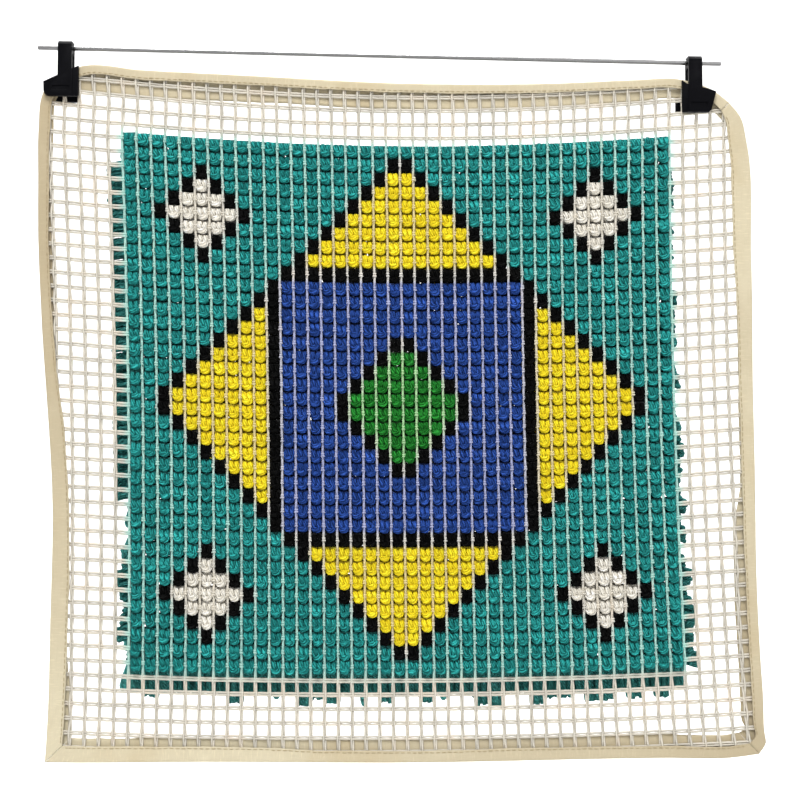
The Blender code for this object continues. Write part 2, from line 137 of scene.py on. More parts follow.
def number_prop(name, description, default):
    """A setting that is a plain number."""
    return bpy.props.FloatProperty(name=name, description=description, default=default)


def angle_prop(name, description, degrees):
    """A setting that is an angle."""
    radians = math.radians(degrees)
    return bpy.props.FloatProperty(name=name, description=description, default=radians, subtype="ANGLE")


def colour_prop(name, description, *default):
    """A setting that is a colour."""
    return bpy.props.FloatVectorProperty(
        name=name, description=description, default=default, subtype="COLOR", size=3
    )


class CanvasSettings(bpy.types.PropertyGroup):
    """Rug canvas."""

    thread: length_prop("Thread", "Radius of one canvas thread", 0.00062)
    pair: length_prop("Pair", "Half the distance between an upright pair's threads", 0.00052)
    loose: length_prop("Loose", "The same for the cross pairs, which stand looser", 0.00064)
    weave: length_prop("Weave", "How far an upright thread bends round a cross pair", 0.00085)
    forward: length_prop("Forward", "How far the yarn squeezes the upright threads forwards", 0.0010)
    colour: colour_prop("Colour", "Sized cotton", 0.70, 0.655, 0.56)
    # The yarn's colour painted onto the threads inside the field stands for light that the yarn reflects
    # onto them.
    reflected_tint: number_prop("Fuzz", "How far the yarn beside them tints the threads", 0.42)


class YarnSettings(bpy.types.PropertyGroup):
    """Rug yarn, its knots and its cut pile."""

    wrap: length_prop("Wrap", "Radius of the two wraps over the cross pair", 0.00150)
    loop: length_prop("Loop", "Radius of the loop below them", 0.00162)
    pile: length_prop("Pile", "Length of a cut end", 0.0250)
    tuft: length_prop("Tuft", "Radius of a cut end where it has opened", 0.0026)
    droop: length_prop("Droop", "How far a cut end sinks under its weight", 0.0130)
    lean: length_prop("Lean", "How far an end leans out at the left side", 0.0095)
    strand: length_prop("Strand", "Radius of a strand in the rim's tufts", 0.00135)
    # The cut ends are darkened as painted shade, for pile that lies behind the canvas; the next setting adds
    # grey to them.
    cut: number_prop("Cut", "Brightness of the cut ends against the knots", 0.88)
    end_grey: number_prop("Dust", "Grey on the cut ends", 0.036)
    teal: colour_prop("Teal", "Ground", 0.022, 0.262, 0.245)
    blue: colour_prop("Blue", "Star's body", 0.022, 0.062, 0.268)
    yellow: colour_prop("Yellow", "Star's points", 1.0, 0.76, 0.022)
    green: colour_prop("Green", "Middle lozenge", 0.018, 0.190, 0.026)
    cream: colour_prop("Cream", "Corner diamonds", 0.96, 0.90, 0.77)
    black: colour_prop("Black", "Outlines", 0.004, 0.004, 0.004)


class ChartSettings(bpy.types.PropertyGroup):
    """The pattern's sizes, in knots."""

    body: number_prop("Body", "Half the star's square", 9.0)
    reach: number_prop("Reach", "From the middle to a point's tip", 17.2)
    lozenge: number_prop("Lozenge", "Half the middle lozenge", 4.2)
    corner_across: number_prop("Corner across", "From the middle to a corner diamond", 14.5)
    corner_down: number_prop("Corner down", "From the middle to a corner diamond", 13.5)
    diamond: number_prop("Diamond", "Half a corner diamond", 2.2)


class BindingSettings(bpy.types.PropertyGroup):
    """Folded tape round the canvas, and its stitches."""

    tape: length_prop("Tape", "Thickness of the tape", 0.0006)
    stitch: length_prop("Stitch", "From one stitch to the next", 0.0032)
    colour: colour_prop("Colour", "Cotton tape", 0.735, 0.655, 0.465)
    # The colour that the tape is darkened and browned towards, by the table along each side.
    soil_and_darkening: colour_prop("Soil", "Tape where it is most soiled", 0.36, 0.28, 0.17)
    thread: colour_prop("Thread", "Sewing thread", 0.38, 0.30, 0.17)


class HangerSettings(bpy.types.PropertyGroup):
    """Clips and bar."""

    bevel: length_prop("Bevel", "Rounding of the clips' edges", 0.00035)
    plastic: colour_prop("Plastic", "Clips", 0.002, 0.002, 0.003)
    metal: colour_prop("Metal", "Bar", 0.60, 0.60, 0.60)


class StageSettings(bpy.types.PropertyGroup):
    """Camera and backdrop."""

    turn: angle_prop("Turn", "Camera turned towards +X", 2.0)
    tilt: angle_prop("Tilt", "Camera turned up", 2.5)
    distance: length_prop("Distance", "From the camera to the cloth", 0.72)
    view_width: length_prop("View width", "Seen at that distance", 0.44)
    aim: bpy.props.FloatVectorProperty(
        name="Aim", description="Middle of the view", default=(0.0097, 0.0, -0.1917), size=3,
        subtype="TRANSLATION",
    )
    floor: colour_prop("Floor", "Floor and backdrop", 0.92, 0.92, 0.92)


def unit(a):
    """Vectors along the last axis at length one."""
    return a / np.linalg.norm(a, axis=-1, keepdims=True)


def distance(line):
    """From the line's start to each of its points, along the line."""
    return np.concatenate([[0], np.linalg.norm(np.diff(line, axis=0), axis=1).cumsum()])


def look_up(table, share):
    """The value at each share of a side, in proportion between the table's rows."""
    return np.interp(share, *zip(*table))


def drape(u, v, y=0.0):
    """The hung cloth's place for grid numbers u and v, moved y behind its middle surface.

    across and down run from -1 to 1 over the field. x is even columns, spread by across cubed, drawn
    in by across times down squared, leaning by down. z is even rows, sagging by across squared. The
    depth is a bow that fades towards the sides, a curl below the field and a ripple in the margins.
    """
    u, v, y = np.broadcast_arrays(*(np.asarray(a, float) for a in (u, v, y)))
    across = (u - COLUMNS / 2) / (COLUMNS / 2)
    down = (v - ROWS / 2) / (COLUMNS / 2)
    x = MIDDLE[0] + COLUMN_PITCH * COLUMNS / 2 * across + SIDE_SPREAD * across**3
    x = x + WAIST * across * down**2 + LEAN * down + SIDE_LEAN * across**2 * down
    z = MIDDLE[1] - ROW_PITCH * COLUMNS / 2 * down + SAG * across**2 + LOW_SAG * across**2 * down
    past_side = np.maximum(abs(across) - 1, 0)
    past_bottom = np.maximum(v - ROWS, 0)
    wave = np.sin(2 * math.pi * v / RIPPLE_ROWS + across) * np.clip(v / RIPPLE_ROWS, 0, 1)
    deep = BELLY * np.maximum(1 - (across / BELLY_REACH) ** 2, 0) ** 2 - CURL * (past_bottom / 6) ** 2
    deep = deep + RIPPLE * wave * (past_side / 0.3) ** 2
    return np.stack([x, deep + y, z], axis=-1)


def grid_of(x, z):
    """The grid numbers of a place on the cloth, found by stepping towards it."""
    u, v = np.full(x.shape, COLUMNS / 2), np.full(x.shape, ROWS / 2)
    for _ in range(12):
        at = drape(u, v)
        u = u + (x - at[..., 0]) / COLUMN_PITCH
        v = v - (z - at[..., 2]) / ROW_PITCH
    return u, v


def smooth_line(points, count):
    """count points, evenly spaced, on a smooth curve through points: a cubic between each two."""
    p = np.array(points, float)
    along = distance(p)
    slope = np.gradient(p, along, axis=0)
    at = np.linspace(0, along[-1], count)
    i = np.clip(np.searchsorted(along, at, side="right") - 1, 0, len(p) - 2)
    step = (along[i + 1] - along[i])[:, None]
    t = ((at - along[i]) / step[:, 0])[:, None]
    start, end = p[i], p[i + 1]
    left, right = slope[i] * step, slope[i + 1] * step
    return (
        (2 * t**3 - 3 * t**2 + 1) * start
        + (t**3 - 2 * t**2 + t) * left
        + (3 * t**2 - 2 * t**3) * end
        + (t**3 - t**2) * right
    )


def waves(x, seed, lengths=(1.0, 0.43, 0.19)):
    """A smooth uneven line between about -1 and 1: sines of three lengths, each a share of the last."""
    rng = np.random.default_rng(seed)
    total = 0
    for k, length in enumerate(lengths):
        total = total + np.sin(2 * math.pi * (x / length + rng.random())) / (1.4 + k)
    return total / 1.4


def tubes(paths, radii, sides, sideways):
    """Closed tubes: a ring of points round each place of each path.

    paths is (tubes, rings, 3) and radii (tubes, rings). A ring's point k is the centre plus
    radius (cos a n + sin a m), with a = 2 pi k / sides, n the sideways vector made square to the run
    of the path, and m = run x n. The ends are closed with squares.
    """
    count, rings = paths.shape[:2]
    run = unit(np.gradient(paths, axis=1))
    n = unit(sideways - (sideways * run).sum(-1, keepdims=True) * run)
    m = np.cross(run, n)
    a = 2 * math.pi * np.arange(sides)[:, None] / sides
    around = np.cos(a) * n[:, :, None] + np.sin(a) * m[:, :, None]
    points = paths[:, :, None] + radii[:, :, None, None] * around
    length = np.linalg.norm(np.diff(paths, axis=1), axis=2).cumsum(axis=1)
    along = np.concatenate([np.zeros((count, 1)), length], axis=1)
    j, k = np.meshgrid(np.arange(rings - 1), np.arange(sides), indexing="ij")
    after = (k + 1) % sides
    here, beyond = j * sides, (j + 1) * sides
    walls = np.stack([here + k, here + after, beyond + after, beyond + k], axis=-1)
    wall_turns = np.stack([k, k + 1, k + 1, k], axis=-1) / sides
    strips = np.array([(0, i, i + 1, i + 2) for i in range(1, sides - 1, 2)])
    caps = np.concatenate([strips[:, ::-1], (rings - 1) * sides + strips])
    cap_turns = np.concatenate([strips[:, ::-1], strips]) / sides
    one = np.concatenate([walls.reshape(-1, 4), caps])
    turns = np.concatenate([wall_turns.reshape(-1, 4), cap_turns])
    quads = one[None] + (rings * sides * np.arange(count))[:, None, None]
    uv = np.stack([np.broadcast_to(turns, quads.shape), along[:, one // sides]], axis=-1)
    return {
        "points": points.reshape(-1, 3),
        "quads": quads.reshape(-1, 4),
        "uv": uv.reshape(-1, 2),
        "owner": np.repeat(np.arange(count), rings * sides),
    }


def strip(points, uv):
    """A closed thin band from a grid of (stations, around): the first half of a ring is the outer face.

    Neighbours on the grid share a square. The two ends are closed by squares that join the outer
    face's points to the inner face's points behind them.
    """
    stations, around = points.shape[:2]
    j, k = np.meshgrid(np.arange(stations - 1), np.arange(around), indexing="ij")
    after = (k + 1) % around
    here, beyond = j * around, (j + 1) * around
    walls = np.stack([here + k, beyond + k, beyond + after, here + after], axis=-1)
    i = np.arange(around // 2 - 1)
    caps = np.stack([i, i + 1, around - 2 - i, around - 1 - i], axis=-1)
    quads = np.concatenate([walls.reshape(-1, 4), caps, (stations - 1) * around + caps[:, ::-1]])
    return {"points": points.reshape(-1, 3), "quads": quads, "uv": uv.reshape(-1, 2)[quads.ravel()]}


def joined(parts):
    """Several sets of points and squares as one."""
    starts = np.cumsum([0, *(len(p["points"]) for p in parts)])
    owners = np.cumsum([0, *(p["owner"].max() + 1 for p in parts)])
    return {
        "points": np.concatenate([p["points"] for p in parts]),
        "quads": np.concatenate([p["quads"] + s for p, s in zip(parts, starts)]),
        "uv": np.concatenate([p["uv"] for p in parts]),
        "owner": np.concatenate([p["owner"] + s for p, s in zip(parts, owners)]),
    }


def add_object(name, data):
    """A new object in the scene."""
    made = bpy.data.objects.new(name, data)
    bpy.context.scene.collection.objects.link(made)
    return made


def dress(piece, slot, *nodes):
    """Lets a piece ride on the frame and stand for its solids."""
    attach(piece, "root")
    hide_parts(*nodes)


def add_piece(name, shape, finish, slot, stands_for, tone=None, paint=None):
    """One object from points and squares, which rides on the frame and stands for its solids.

    uv holds each corner's turn round the strand and its distance along it, tone one number for each
    point and paint one colour for each point.
    """
    points, quads = shape["points"], shape["quads"]
    mesh = bpy.data.meshes.new(name)
    mesh.vertices.add(len(points))
    mesh.vertices.foreach_set("co", points.astype(np.float32).ravel())
    mesh.loops.add(quads.size)
    mesh.loops.foreach_set("vertex_index", quads.astype(np.int32).ravel())
    mesh.polygons.add(len(quads))
    mesh.polygons.foreach_set("loop_start", np.arange(0, quads.size, 4, dtype=np.int32))
    mesh.update(calc_edges=True)
    mesh.uv_layers.new(name="strand").data.foreach_set("uv", shape["uv"].astype(np.float32).ravel())
    if tone is not None:
        mesh.attributes.new("tone", "FLOAT", "POINT").data.foreach_set("value", tone.astype(np.float32))
    if paint is not None:
        rgba = np.concatenate([paint, np.ones((len(paint), 1))], axis=1).astype(np.float32)
        mesh.attributes.new("paint", "FLOAT_COLOR", "POINT").data.foreach_set("color", rgba.ravel())
    if mesh.validate():
        raise RuntimeError(f"{name} has faulty faces")
    mesh.shade_smooth()
    mesh.materials.append(finish)
    piece = add_object(name, mesh)
    dress(piece, slot, *stands_for)
    return piece


class Value:
    """A shader socket in a sum: each operator adds one Math node and returns its result."""

    def __init__(self, recipe, socket):
        self.recipe = recipe
        self.socket = socket

    def math(self, operation, *others):
        return self.recipe.math(operation, self, *others)

    def __add__(self, other):
        return self.math("ADD", other)

    def __sub__(self, other):
        return self.math("SUBTRACT", other)

    def __rsub__(self, other):
        return self.recipe.math("SUBTRACT", other, self)

    def __mul__(self, other):
        return self.math("MULTIPLY", other)

    __radd__ = __add__
    __rmul__ = __mul__


class Recipe:
    """The nodes of one material."""

    def __init__(self, name, roughness, specular=0.5, metallic=0.0):
        self.material = bpy.data.materials.new(name)
        self.material.use_nodes = True
        self.tree = self.material.node_tree
        self.shader = self.tree.nodes["Principled BSDF"]
        self.shader.inputs["Roughness"].default_value = roughness
        self.shader.inputs["Specular IOR Level"].default_value = specular
        self.shader.inputs["Metallic"].default_value = metallic

    def node(self, kind, settings=(), inputs=(), output=0):
        """A node of any kind: settings first, then the values or links of its sockets."""
        made = self.tree.nodes.new(kind)
        for key, value in dict(settings).items():
            setattr(made, key, value)
        for key, value in dict(inputs).items():
            self.put(made.inputs[key], value)
        return Value(self, made.outputs[output])

    def put(self, socket, value):
        """Links a value to a socket, or sets the socket to a number or colour."""
        if isinstance(value, Value):
            self.tree.links.new(value.socket, socket)
        else:
            socket.default_value = value

    def math(self, operation, *values):
        """A Math node."""
        return self.node("ShaderNodeMath", {"operation": operation}, dict(enumerate(values)))

    def smooth(self, value, low, high):
        """0 below low, 1 above high, and a soft step between."""
        kind = {"interpolation_type": "SMOOTHSTEP"}
        return self.node("ShaderNodeMapRange", kind, {"Value": value, "From Min": low, "From Max": high})

    def mix(self, factor, a, b, way="MIX"):
        """Colour b over colour a."""
        a, b = ((*c, 1) if isinstance(c, tuple) else c for c in (a, b))
        kind = {"data_type": "RGBA", "blend_type": way}
        return self.node("ShaderNodeMix", kind, {0: factor, 6: a, 7: b}, 2)

    def over(self, base, value, low, high, share, colour, way="MIX"):
        """A share of a colour over the base, coming in as the value goes from low to high."""
        return self.mix(self.smooth(value, low, high) * share, base, colour, way)

    def split(self, vector, axis):
        """One part of a vector."""
        return self.node("ShaderNodeSeparateXYZ", (), {"Vector": vector}, axis)

    def join(self, x, y, z=0.0):
        """A vector of three values."""
        return self.node("ShaderNodeCombineXYZ", (), {"X": x, "Y": y, "Z": z})

    def uv(self):
        """Turn round the strand, or distance across the tape, and distance along."""
        place = self.node("ShaderNodeUVMap", {"uv_map": "strand"})
        return self.split(place, 0), self.split(place, 1)

    def place(self):
        """The point's place on the object, in metres."""
        return self.node("ShaderNodeTexCoord", (), (), "Object")

    def tone(self):
        """The number that each point carries."""
        return self.node("ShaderNodeAttribute", {"attribute_name": "tone"}, (), "Fac")

    def paint(self):
        """The colour that each point carries."""
        return self.node("ShaderNodeAttribute", {"attribute_name": "paint"}, (), "Color")

    def noise(self, vector, scale, detail=3.0, rough=0.55):
        """Soft clouds, scale of them to the metre."""
        given = {"Vector": vector, "Scale": scale, "Detail": detail, "Roughness": rough}
        return self.node("ShaderNodeTexNoise", (), given)

    def wave(self, value):
        """A sine of period one, from 0 to 1."""
        return self.math("SINE", value * (2 * math.pi)) * 0.5 + 0.5

    def finish(self, colour, height=None, strength=0.5, depth=0.0002, roughness=None):
        """The material with its colour, its roughness and a bump that stands depth high."""
        self.put(self.shader.inputs["Base Color"], colour)
        if roughness is not None:
            self.put(self.shader.inputs["Roughness"], roughness)
        if height is not None:
            given = {"Strength": strength, "Distance": depth, "Height": height}
            self.put(self.shader.inputs["Normal"], self.node("ShaderNodeBump", (), given))
        return self.material


def shade(colour, factor):
    """A colour made darker or lighter."""
    return tuple(min(c * factor, 1.0) for c in colour)


def yarn_finish(name, colour, plies=5, lay=0.0026):
    """Soft acrylic yarn: plies that wind round the strand, with painted shade in their grooves, and fibres
    that follow them, with painted highlights and painted shade.

    The lighter the yarn is, the more light is left in its grooves.
    """
    # how dark the painted shade in the grooves and between the fibres is
    deep = 0.22 + 0.37 * max(colour)
    r = Recipe(name, 0.9, 0.03)
    turn, along = r.uv()
    tone = r.tone()
    wound = turn * plies + along * (1 / lay) + tone * 3.0
    ply = r.wave(wound)
    fibres = r.noise(r.join(wound * 3.2, along * 380.0, tone * 40.0), 1.0, 3.0, 0.6)
    # painted shade in the grooves between the plies
    base = r.mix(r.smooth(ply, 0.05, 0.50), shade(colour, deep), colour)
    # painted highlights on the fibres
    base = r.over(base, fibres, 0.50, 0.63, 0.80, shade(colour, 2.4))
    # painted shade between the fibres
    base = r.over(base, fibres, 0.50, 0.39, 0.75, shade(colour, deep))
    base = r.mix(tone * 0.35, base, shade(colour, 0.62))
    height = ply * 0.6 + fibres * 0.8
    return r.finish(base, height, 1.0, 0.0009)


def thread_finish():
    """Sized cotton thread in its own paint, which inside the field holds painted light reflected from the
    yarn:
    a close twist with painted shade in its grooves and fine painted highlights, with warmer and greyer
    stretches.
    """
    r = Recipe("canvas", 0.75, 0.25)
    turn, along = r.uv()
    twist = r.wave(turn * 2.0 + along * (1 / 0.0011))
    patch = r.noise(r.place(), 60.0)
    fine = r.noise(r.join(turn * 4.0, along * 1500.0), 1.0)
    base = r.mix(r.smooth(patch, 0.40, 0.65), r.paint(), (0.86, 0.86, 0.87), "MULTIPLY")
    base = r.over(base, patch, 0.50, 0.30, 0.5, (1.0, 0.90, 0.84), "MULTIPLY")
    # painted shade in the twist's grooves
    base = r.mix((1 - twist) * 0.30, base, (0.45, 0.45, 0.45), "MULTIPLY")
    # painted highlights on fine fibres
    base = r.over(base, fine, 0.55, 0.75, 0.2, (0.95, 0.92, 0.85))
    return r.finish(base, twist * 0.7 + fine * 0.4, 0.6, 0.0002)


def tape_finish(colour, darkened_colour):
    """Plain-woven cotton tape with slubs and a creased grain, darker and browner by its tone along each
    side, and soiled in faint clouds.
    """
    r = Recipe("binding", 0.88, 0.2)
    across, along = r.uv()
    warp = r.wave(across * (1 / 0.00055))
    weft = r.wave(along * (1 / 0.00048))
    weave = warp * weft + (1 - warp) * (1 - weft)
    slub = r.noise(r.join(across * 180.0, along * 1400.0), 1.0, 3.0)
    long_slub = r.noise(r.join(across * 1600.0, along * 120.0), 1.0, 3.0)
    soil_and_darkening = r.noise(r.place(), 22.0, 4.0)
    base = r.mix(weave * 0.35, shade(colour, 0.80), colour)
    base = r.over(base, slub, 0.50, 0.75, 0.4, shade(colour, 1.18))
    base = r.over(base, long_slub, 0.50, 0.30, 0.35, shade(colour, 0.72))
    base = r.over(base, soil_and_darkening, 0.50, 0.74, 0.45, (0.50, 0.39, 0.22))
    base = r.over(base, soil_and_darkening, 0.46, 0.28, 0.40, (0.78, 0.72, 0.54))
    # darker and browner along each side where its tone, from the table, is higher
    base = r.mix(r.tone(), base, darkened_colour)
    return r.finish(base, weave * 0.5 + slub * 0.4 + long_slub * 0.3, 0.7, 0.00022)


def sewing_finish(colour):
    """Twisted sewing thread, with painted shade in its grooves and painted highlights on its ridges."""
    r = Recipe("stitches", 0.6)
    turn, along = r.uv()
    twist = r.wave(turn * 2.0 + along * (1 / 0.0007))
    # painted shade in the twist's grooves and painted highlights on its ridges
    base = r.mix(twist, shade(colour, 0.6), shade(colour, 1.3))
    return r.finish(base, twist, 0.5, 0.0001)


def plastic_finish(colour):
    """Black moulded plastic: a fine spark grain and rubbed patches."""
    r = Recipe("clip", 0.42, 0.05)
    place = r.place()
    grain = r.noise(place, 2600.0, 2.0)
    rubbed = r.noise(place, 130.0, 4.0)
    base = r.over(colour, rubbed, 0.50, 0.75, 0.5, shade(tuple(c + 0.003 for c in colour), 1.5))
    rough = 0.36 + rubbed * 0.20
    return r.finish(base, grain * 0.5 + rubbed * 0.2, 0.35, 0.00008, rough)


def metal_finish(colour):
    """Plated steel with fine marks along the bar, and painted shade on its underside."""
    r = Recipe("bar", 0.2, metallic=1.0)
    turn, _ = r.uv()
    place = r.place()
    drawn = r.node("ShaderNodeMapping", (), {"Vector": place, "Scale": (20.0, 2500.0, 2500.0)})
    lines = r.noise(drawn, 1.0, 2.0)
    dull = r.noise(place, 45.0, 3.0)
    base = r.over(colour, dull, 0.50, 0.75, 0.5, shade(colour, 0.72))
    # painted shade: the underside of the bar is darkened
    base = r.mix(r.smooth(r.wave(turn - 0.5), 0.3, 0.85), base, shade(colour, 0.30))
    return r.finish(base, lines, 0.15, 0.00005, 0.12 + dull * 0.22 + lines * 0.06)


def floor_finish(colour):
    """Smooth pale paper with the faintest grain."""
    r = Recipe("backdrop", 0.9)
    grain = r.noise(r.place(), 35.0, 3.0)
    base = r.mix(r.smooth(grain, 0.35, 0.70), colour, shade(colour, 0.985))
    return r.finish(base)


def outline():
    """The cloth's outer edge in grid numbers, as one closed line of points."""
    return np.concatenate([smooth_line(points, 80)[:-1] for points in EDGES.values()])


def span(line, axis, value, inset):
    """Where the line at u or v = value meets the cloth's edge: its lowest and highest other number.

    Each stretch of the edge that crosses the value is cut in proportion, and both ends step inwards.
    """
    a, b = line, np.roll(line, -1, axis=0)
    crosses = (a[:, axis] - value) * (b[:, axis] - value) <= 0
    a, b = a[crosses], b[crosses]
    share = (value - a[:, axis]) / np.where(a[:, axis] == b[:, axis], 1, b[:, axis] - a[:, axis])
    other = a[:, 1 - axis] + share * (b[:, 1 - axis] - a[:, 1 - axis])
    return other.min() + inset, other.max() - inset


def colour_chart(chart):
    """Each knot's shade: a star on a plain ground, with outlines one knot wide.

    a and b are a knot's distances from the middle, across and down. The body is the square where both
    are small, the points are where their sum is small outside it, the lozenge is where their sum is
    smallest, and a corner diamond lies round one place in each quarter. An outline is what a shape
    gains when it grows by one knot each way.
    """
    across = np.arange(COLUMNS) - (COLUMNS - 1) / 2
    down = np.arange(ROWS) - (ROWS - 1) / 2
    a, b = np.meshgrid(abs(across), abs(down))

    def grown(mask):
        """The mask and the knots above, below and beside it."""
        wide = np.pad(mask, 1)
        return wide[1:-1, 1:-1] | wide[:-2, 1:-1] | wide[2:, 1:-1] | wide[1:-1, :-2] | wide[1:-1, 2:]

    body = np.maximum(a, b) < chart.body
    points = (a + b < chart.reach) & ~grown(body)
    lozenge = a + b < chart.lozenge
    diamonds = abs(a - chart.corner_across) + abs(b - chart.corner_down) < chart.diamond
    shades = np.full((ROWS, COLUMNS), SHADES.index(GROUND))
    for mask, name in (
        (grown(body | points | diamonds), "black"),
        (body, "blue"),
        (points, "yellow"),
        (grown(lozenge), "black"),
        (lozenge, "green"),
        (diamonds, "cream"),
    ):
        shades[mask] = SHADES.index(name)
    return shades


def knot_grid():
    """Column and row of every knot, one after another."""
    v, u = np.meshgrid(np.arange(ROWS), np.arange(COLUMNS), indexing="ij")
    return u.ravel(), v.ravel()


class HANGING_OT_canvas(bpy.types.Operator):
    """Weave the rug canvas from pairs of threads"""

    bl_idname = "hanging.canvas"
    bl_label = "Rug canvas"

    CROSS_PAIRS = range(-4, 44)
    UPRIGHT_PAIRS = range(-5, 46)
    SIDES = 4
    HEAD = 0.4  # rows from the field's upper end to its first cross pair
    REFLECTED_PEAK = 0.8  # strongest part of the painted light that the yarn reflects onto the threads
    STRAY = 0.01  # how far a pair wanders, in columns or rows
    DRAWN = 0.19  # how far the first upright pairs are drawn in above the field, in columns
    DRAWN_ROWS = 2.5  # rows above the field over which they are
    DRAWN_PAIRS = 12  # upright pairs over which it fades
    # What the yarn does inside the field
    CROSS_FORWARD = 1.7  # the cross pairs' way forwards, as a share of the upright pairs'
    FLATTER = 0.5  # share of the weave that is lost
    CLOSER = 0.45  # share of the distance in an upright pair that is lost
    THINNER = 0.20  # share of an upright thread's radius that is lost

    def execute(self, context):
        """Cross pairs run level, their threads above and below their row. An upright pair's threads stand
        beside its column, and one of them lies in front of each cross pair while the other lies behind:
        depth = +-weave cos(pi v). Inside the field the yarn squeezes both forwards where they cross, makes
        the upright pairs narrower and tints the threads with its colour, as painted light that the yarn
        reflects onto them. Above the field the left upright pairs are drawn towards the middle.
        """
        settings = context.scene.hanging_canvas
        # painted reflected light: each knot's colour, made lighter, to lay on the threads beside it
        tints = self.reflected_tint(context.scene)
        line = outline()
        paths, sizes, paint = [], [], []
        for v in self.CROSS_PAIRS:
            u = self.stations(line, 1, v, 2, 0.4)
            at_upright = np.cos(2 * math.pi * u)
            depth = -self.CROSS_FORWARD * settings.forward * self.in_field(u, v) * (0.5 + 0.5 * at_upright)
            for side in (-1, 1):
                off = side * settings.loose / ROW_PITCH * (1 - 0.10 * at_upright)
                paths.append(drape(u, v + off + self.STRAY * waves(u / 9, 100 + v), depth))
                sizes.append(np.ones(len(u)))
                paint.append(self.tinted(settings, tints, u, 0 * u + v))
        for u in self.UPRIGHT_PAIRS:
            v = self.stations(line, 0, u, 3, 1)
            squeezed = self.in_field(u, v)
            fading = np.clip((self.DRAWN_PAIRS - u) / self.DRAWN_PAIRS, 0, 1)
            drawn = self.DRAWN * np.clip(-v / self.DRAWN_ROWS, 0, 1) * fading
            for side in (-1, 1):
                off = side * settings.pair / COLUMN_PITCH * (0.92 + 0.12 * np.cos(2 * math.pi * v))
                off = off * (1 - self.CLOSER * squeezed)
                depth = side * settings.weave * np.cos(math.pi * v) * (1 - self.FLATTER * squeezed)
                depth = depth - settings.forward * squeezed
                paths.append(drape(u + drawn + off + self.STRAY * waves(v / 9, 200 + u), v, depth))
                sizes.append(1 - self.THINNER * squeezed)
                paint.append(self.tinted(settings, tints, 0 * v + u, v))
        shape = joined([
            tubes(path[None], settings.thread * size[None], self.SIDES, BACK)
            for path, size in zip(paths, sizes)
        ])
        paint = np.repeat(np.concatenate(paint), self.SIDES, axis=0)
        piece = add_piece("rug_canvas", shape, thread_finish(), "canvas", ["canvas"], paint=paint)
        at = drape(line[:, 0], line[:, 1])
        x, z = at[:, 0], at[:, 2]
        area = abs((x * np.roll(z, -1) - z * np.roll(x, -1)).sum()) / 2
        area - distance(at)[-1] * CANVAS_INSET
        return {"FINISHED"}

    @staticmethod
    def stations(line, axis, value, per_knot, free):
        """Places along a pair: its two ends at the cloth's edge, and so many a knot between them."""
        low, high = span(line, axis, value, CANVAS_INSET / COLUMN_PITCH)
        first, last = math.ceil(low * per_knot + free), math.floor(high * per_knot - free)
        return np.concatenate([[low], np.arange(first, last + 1) / per_knot, [high]])

    @classmethod
    def reflected_tint(cls, scene):
        """Each knot's shade made lighter for the painted light that its yarn reflects onto the threads,
        which brings its strongest part to the peak set on the class.
        """
        shades = np.array([getattr(scene.hanging_yarn, name) for name in SHADES])
        return (shades / shades.max(axis=1, keepdims=True) * cls.REFLECTED_PEAK)[colour_chart(scene.hanging_chart)]

    @classmethod
    def tinted(cls, settings, tints, u, v):
        """The thread's colour at (u, v), drawn inside the field towards the mean of the knots beside it:
        painted light that their yarn reflects onto the thread.
        """
        plain = np.array(settings.colour)
        row = np.clip(np.round(v).astype(int), 0, ROWS - 1)
        left, right = (np.clip(np.floor(u + off).astype(int), 0, COLUMNS - 1) for off in (-0.5, 0.5))
        beside = (tints[row, left] + tints[row, right]) / 2
        # painted reflected light: the threads take on the colour of the yarn beside them
        return plain + settings.reflected_tint * cls.in_field(u, v)[:, None] ** 4 * (beside - plain)

    @classmethod
    def in_field(cls, u, v):
        """1 inside the knotted field and 0 in the margins, with a step one row or column wide."""
        beside = np.maximum(-u, u - COLUMNS)
        beyond = np.maximum(-cls.HEAD - v, v - ROWS + cls.HEAD)
        return np.clip(1 - np.maximum(beside, beyond), 0, 1)


